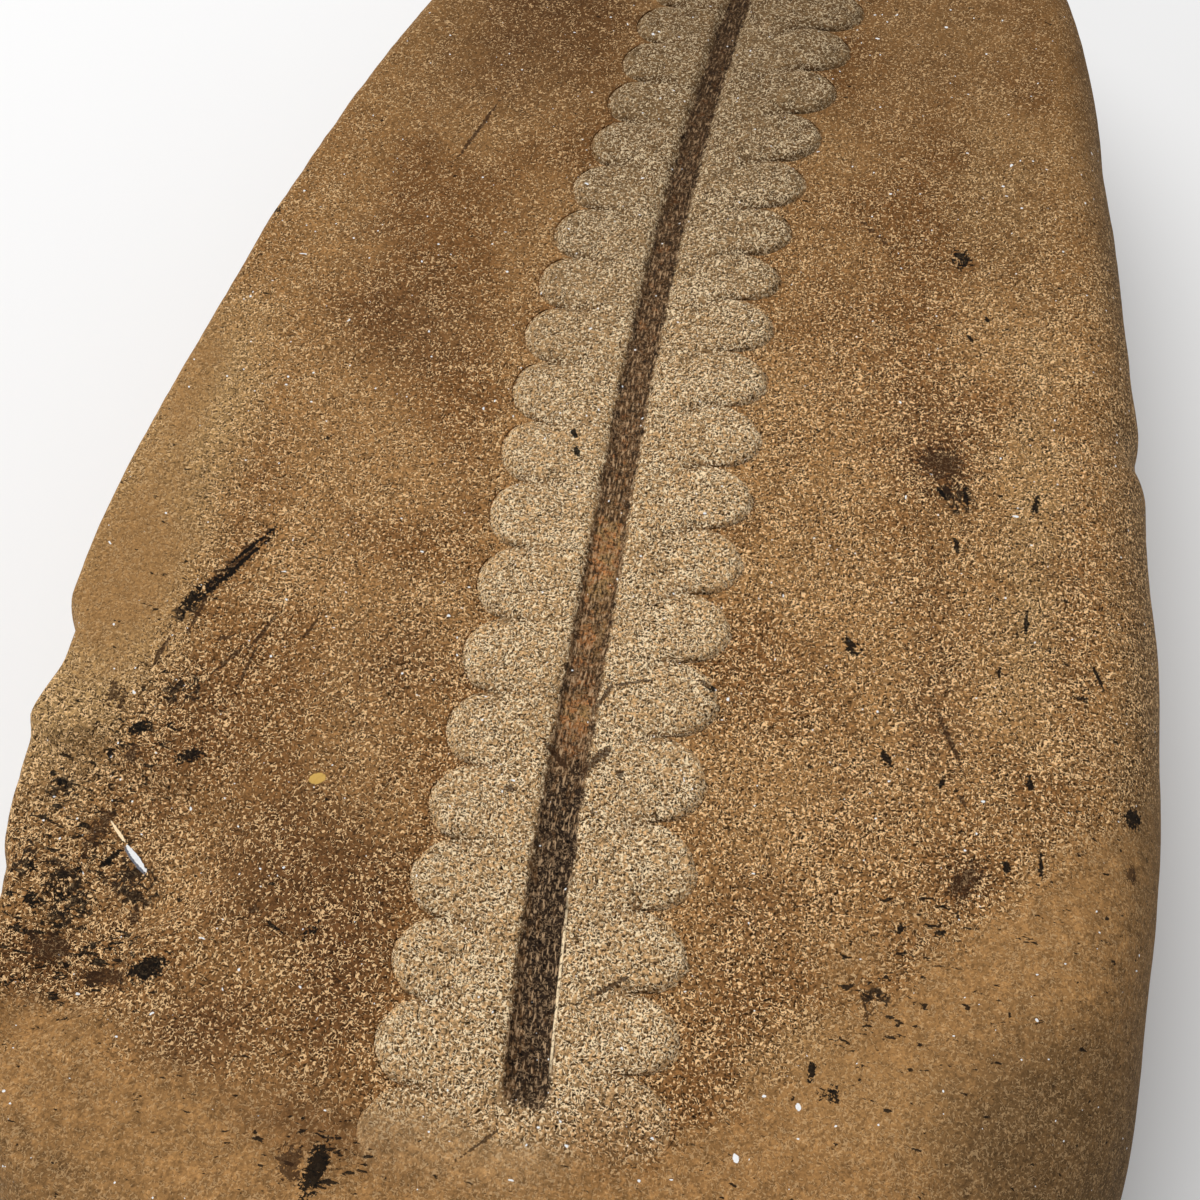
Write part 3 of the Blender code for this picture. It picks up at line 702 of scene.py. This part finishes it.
def stone_material(shift):
    graph = Graph("sandstone with fern")
    mix = graph.mix
    objects = graph.node("ShaderNodeTexCoord", output="Object")
    place = graph.vector("SCALE", objects)
    place.socket.node.inputs["Scale"].default_value = 1 / MM
    plan = graph.vector("ADD", place, (shift[0] / MM, shift[1] / MM, 0.0))

    def noise_at(per_mm, detail=2.0, rough=0.5, twist=0.0, moved=0.0, aside=0.0):
        moved = (moved + aside, moved * 1.7 - aside, moved * 0.6)
        return graph.noise(graph.vector("ADD", place, moved), per_mm, detail, rough, twist)

    inside = graph.reading("inside the lobes")
    aside = graph.reading("from the midrib")
    end = graph.reading("past the midrib's end")
    fade = graph.reading("frond fade")
    rim_distance = graph.reading("from the edge")
    lip = graph.reading("up the lip")
    rusty, pale, yellow, shady, smooth, flecked, calm, broken, far = [
        graph.reading(name)
        for name in ("rusty", "pale", "yellow", "shady", "smooth", "flecked", "calm", "broken", "far")
    ]
    warmth = graph.reading("rib warmth")
    number = graph.reading("lobe number")

    large = noise_at(0.07, 3.0)
    middling = noise_at(0.35, 4.0, 0.6)
    clump = noise_at(1.3, 2.0, 0.6, 0.0, 11.0)
    grain = noise_at(4.2, 2.0, 0.6, 0.5)

    ragged = (grain - 0.5) * 0.7 + (clump - 0.5) * (far * 1.6 + 0.8)
    lobes = (inside + ragged).rise(-0.1, 0.16) * fade
    half_rib = end * -RIB_TAPER + RIB_NEAR_HALF_WIDTH
    rib_inside = (half_rib - abs(aside)).least(end + (clump - 0.5) * 1.2)
    rib = (rib_inside + (grain - 0.5) * 1.0 + (clump - 0.5) * 1.0).rise(-0.15, 0.15) * fade
    off_tip = abs(graph.sum("FRACT", number + 8.0) - 0.5) + (grain - 0.5) * 0.12
    # Painted shade in the creases between lobes, stronger out towards the notches.
    crease = off_tip.rise(0.40, 0.48) * (abs(aside).rise(3.0, 7.0) * 0.8 + 0.2) * lobes
    # Painted shade in the notches between the lobes' tips.
    notch_shade = off_tip.rise(0.2, 0.42) * inside.rise(-2.4, -0.4) * (1.0 - lobes) * fade
    skin = (lip + (middling - 0.5) * 6.0).rise(-0.5, 3.0)
    skin = skin.most((smooth + (middling - 0.5) * 0.6).rise(0.3, 0.8))
    band = (rim_distance + (middling - 0.5) * 8.0).rise(14.0, 8.0)
    # Where the skin turns greyer and shade is painted: near the right-hand edge and down all the flanks.
    flank_skin_and_shade = (rim_distance + (middling - 0.5) * 3.0).rise(8.0, 2.0) * aside.rise(-20.0, 10.0)
    flank_skin_and_shade = flank_skin_and_shade.most(graph.reading("down the flank").rise(0.0, 0.1))

    def tinted(share):
        return (share + (middling - 0.5) * 0.5 + (clump - 0.5) * 0.25).rise(0.12, 0.85)

    ground = mix(large.rise(0.36, 0.64), BROWN, TAN)
    ground = mix(tinted(pale), ground, TAN)
    ground = mix(band * 0.6, ground, OCHRE)
    ground = mix(tinted(yellow) * 0.9, ground, YELLOW)
    ground = mix(skin * 0.85, ground, OCHRE)
    ground = mix(tinted(rusty) * 0.8, ground, RUST)
    ground = mix(broken * 0.5, ground, RUST)
    # Grey skin and painted shade on the right-hand shoulder and the flanks.
    ground = mix(flank_skin_and_shade * 0.8, ground, GREY_SKIN_AND_SHADE)
    ground = mix(tinted(shady) * 0.7, ground, SHADE)
    # The lobes' colour, with a painted highlight along their edges.
    ground = mix(lobes, ground, mix(inside.rise(0.2, 1.3), LOBE_EDGE_HIGHLIGHT, LOBE))
    # Painted shade in the creases between lobes.
    ground = mix(crease * 0.7, ground, CREASE_SHADE)
    # Painted shade in the notches between lobes.
    ground = mix(notch_shade * 0.7, ground, NOTCH_SHADE)
    worn = (clump + (middling - 0.5) * 0.8).rise(0.45, 0.62) * lobes * far
    ground = mix(worn * 0.5, ground, BROWN)

    streaks = graph.node("ShaderNodeCombineXYZ", None, {0: aside * 3.2, 1: end * 0.6, 2: 0.0})
    streak = graph.noise(streaks, 1.0, 3.0, 0.65, 0.6)
    near_end = end.rise(24.0, 12.0)
    lean = near_end * aside.rise(-1.2, 0.4) * 0.14 - near_end * aside.rise(-0.6, -1.4) * 0.08
    dark_share = (streak + (clump - 0.5) * 0.7 + lean - warmth * 0.14 - far * 0.05).rise(0.42, 0.60)
    filling = mix(dark_share, RIB, RIB_BLACK)
    centred = (half_rib - abs(aside)).rise(0.0, 0.6)
    orange = (warmth * centred + (clump - 0.5) * 1.6 + (streak - 0.5) * 0.8).rise(0.35, 0.95)
    filling = mix(orange * 0.8, filling, mix((middling + (clump - 0.5)).rise(0.4, 0.6), RIB_TAN, RIB_ORANGE))
    ground = mix(rib, ground, filling)

    # Blotches, stronger and softer on the worn skin, and a darker far end.
    blotch = noise_at(0.8, 2.0, 0.6, 0.0, 41.0)
    darker = 1.0 - far * (0.30 - lobes * 0.08) - lobes * end.rise(45.0, 80.0) * 0.38
    pebble = noise_at(1.7, 1.0, 0.5, 0.8, 83.0)
    soft = ((blotch - 0.5) * (0.6 + skin * 0.4) + (pebble - 0.5) * skin) * (1.0 - yellow * 0.9)
    ground = mix(1.0, ground, soft + darker, "MULTIPLY")

    fine = (1.0 - skin * 0.65) * (1.0 - flank_skin_and_shade * 0.3) * (1.0 - far * 0.7) * (1.0 - calm * 0.5)
    speckle = (grain - 0.5) * (4.2 + lobes * 0.6) * fine + 0.97
    ground = mix(1.0, ground, speckle, "MULTIPLY")

    def strokes(per_mm, moved, wide):
        """Short curved strokes of bright grains, and beside each a dark stroke of painted shadow."""
        gate = noise_at(4.0, 0.0, 0.5, 0.0, moved + 7.0) + (middling - 0.5) * 0.4
        gate = (gate + lobes * 0.05 + broken * 0.03 - far * 0.03 - calm * 0.06).rise(0.51, 0.56)
        lit = abs(noise_at(per_mm, 1.0, 0.5, 0.7, moved) - 0.5)
        shadow_side = abs(noise_at(per_mm, 1.0, 0.5, 0.7, moved, 0.12) - 0.5)
        gate = gate * (1.0 - skin * 0.65) * (1.0 - far * 0.5) * (1.0 - calm * 0.3) * (1.0 - rib * 0.6)
        return lit.rise(wide, wide * 0.4) * gate, shadow_side.rise(wide * 1.8, wide * 0.7) * gate

    bright_a, grain_shadow_a = strokes(2.2, 31.0, 0.042)
    bright_b, grain_shadow_b = strokes(3.0, 53.0, 0.052)
    # Painted shadow beside each bright grain stroke.
    ground = mix(grain_shadow_a.most(grain_shadow_b) * 0.95, ground, mix(lobes, GRAIN_SHADOW, LOBE_GRAIN_SHADOW))
    bright = bright_a.most(bright_b)
    grains = mix(rib, mix(lobes, WARM_GRAIN, CREAM), RIB_GRAIN)
    ground = mix(bright * (0.92 - skin * 0.14), ground, grains)

    # The midrib's fibres, and a painted highlight along its right edge near its end.
    strands = graph.node("ShaderNodeCombineXYZ", None, {0: aside * 5.5, 1: end * 1.4, 2: 0.0})
    strand = graph.noise(strands, 1.0, 1.0, 0.5, 0.3)
    ground = mix(rib * strand.rise(0.59, 0.68) * (0.7 - far * 0.4), ground, RIB_GRAIN)
    ground = mix(rib * strand.rise(0.44, 0.36) * 0.8, ground, RIB_BLACK)
    rib_edge_highlight = abs(aside - half_rib + 0.1).rise(0.13, 0.05) * end.rise(1.5, 4.0) * end.rise(15.0, 11.0)
    ground = mix(rib_edge_highlight * (grain + 0.25).rise(0.6, 0.8), ground, CREAM)

    turned = graph.node("ShaderNodeMapping", None, {
        "Vector": place, "Rotation": (0.0, 0.0, math.radians(-50)), "Scale": (0.55, 1.3, 1.0),
    })
    flecks = graph.noise(turned, 1.5, 3.0, 0.65, 0.3)
    flecks = (flecks + flecked * 0.13 + skin * 0.02 - lobes * 0.08).rise(0.68, 0.72)
    ground = mix(flecks * 0.92, ground, COAL_COLOUR)
    # Sparse painted glints: white specks of light caught by sparkling grains.
    painted_glint = noise_at(2.6, 0.0, 0.5, 0.0, 77.0).rise(0.845, 0.86)
    ground = mix(painted_glint, ground, WHITE_MARK_AND_GLINT)

    def marked(away, rough=1.0):
        return (away + ((grain - 0.5) * 2.4 + (clump - 0.5) * 1.2) * rough).rise(1.1, 0.9)

    squiggle = abs(noise_at(1.1, 2.0, 0.6, 0.6, 63.0) - 0.5).rise(0.08, 0.055)
    scribble = (graph.reading("scribbled") + (clump - 0.5) * 1.2).rise(1.1, 0.8)
    brown = marked(graph.reading("broad brown").least(graph.nearest(plan, THIN_BROWN)))
    coal = marked(graph.reading("broad coal").least(graph.nearest(plan, THIN_COAL)))
    ground = mix(scribble * squiggle * 0.88, ground, SCRIBBLE)
    ground = mix(brown * 0.8, ground, BROWN_MARK)
    ground = mix(coal * 0.95, ground, COAL_COLOUR)
    ground = mix(marked(graph.nearest(plan, YELLOW_CHIP), 0.2), ground, CHIP_COLOUR)
    ground = mix(marked(graph.nearest(plan, PALE_SLIVER), 0.6), ground, CREAM)
    ground = mix(marked(graph.nearest(plan, GREY_SLIVER), 0.2), ground, SLIVER_SIDE)
    ground = mix(marked(graph.nearest(plan, WHITE_MARKS), 0.4), ground, WHITE_MARK_AND_GLINT)

    height = grain * 0.85 + blotch * 2.0
    bumps = {"Strength": BUMP_STRENGTH, "Distance": BUMP_DEPTH, "Height": height}
    bump = graph.node("ShaderNodeBump", None, bumps)
    looks = {
        "Base Color": ground, "Roughness": STONE_ROUGHNESS, "Normal": bump, "Specular IOR Level": STONE_SHINE,
    }
    shader = graph.node("ShaderNodeBsdfPrincipled", None, looks)
    out = graph.tree.nodes.new("ShaderNodeOutputMaterial")
    graph.tree.links.new(shader.socket, out.inputs["Surface"])
    return graph.material


# ---------------------------------------------------------------- the studio
CAMERA_PLACE = (6.73 * MM, -64.4 * MM, 124.7 * MM)
CAMERA_TILT = 25.5
CAMERA_TURN = 10.5
CAMERA_HALF_VIEW = 24.0
SENSOR_WIDTH = 36.0
NEAREST_SEEN = 0.01
FLOOR_SIZE = 3.0
PAPER = (0.9, 0.9, 0.9)
PAPER_ROUGHNESS = 0.9
SKY_STRENGTH = 0.42
WINDOW_PLACE = (-0.38, 0.2, 0.72)
WINDOW_SIZE = 0.7
WINDOW_POWER = 5.5
LIT_POINT = (0.0, 0.0, 0.02)


def make_camera(shift):
    lens = bpy.data.cameras.new("camera")
    lens.sensor_width = SENSOR_WIDTH
    lens.lens = lens.sensor_width / 2 / math.tan(math.radians(CAMERA_HALF_VIEW))
    lens.clip_start = NEAREST_SEEN
    camera = bpy.data.objects.new("camera", lens)
    camera.location = (CAMERA_PLACE[0] - shift[0], CAMERA_PLACE[1] - shift[1], CAMERA_PLACE[2])
    camera.rotation_euler = (math.radians(CAMERA_TILT), 0.0, math.radians(CAMERA_TURN))
    bpy.context.scene.collection.objects.link(camera)
    bpy.context.scene.camera = camera


def make_window():
    """One large soft lamp, up and to the left of the far end, turned towards the stone."""
    lamp = bpy.data.lights.new("window", "AREA")
    lamp.shape = "DISK"
    lamp.size = WINDOW_SIZE
    lamp.energy = WINDOW_POWER
    lamp.color = (1.0, 1.0, 1.0)
    holder = bpy.data.objects.new("window", lamp)
    holder.location = WINDOW_PLACE
    towards = Vector(WINDOW_PLACE) - Vector(LIT_POINT)
    holder.rotation_euler = towards.to_track_quat("Z", "Y").to_euler()
    bpy.context.scene.collection.objects.link(holder)


def make_studio():
    bpy.ops.object.select_all(action="DESELECT")
    bpy.ops.mesh.primitive_plane_add(size=FLOOR_SIZE)
    floor = bpy.context.object
    floor.name = "floor"
    paper = Graph("pale paper")
    looks = {"Base Color": colour(PAPER), "Roughness": PAPER_ROUGHNESS}
    shader = paper.node("ShaderNodeBsdfPrincipled", None, looks)
    out = paper.tree.nodes.new("ShaderNodeOutputMaterial")
    paper.tree.links.new(shader.socket, out.inputs["Surface"])
    floor.data.materials.append(paper.material)
    world = bpy.data.worlds.new("studio")
    world.use_nodes = True
    sky = world.node_tree.nodes["Background"]
    sky.inputs["Color"].default_value = (1.0, 1.0, 1.0, 1.0)
    sky.inputs["Strength"].default_value = SKY_STRENGTH
    bpy.context.scene.world = world
    make_window()
    bpy.context.scene.view_settings.view_transform = "Standard"


def main():
    stone, shift = make_stone()
    stone.data.materials.clear()
    stone.data.materials.append(stone_material(shift))
    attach(stone, "root")
    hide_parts("fossil_slab")
    make_studio()
    make_camera(shift)


main()
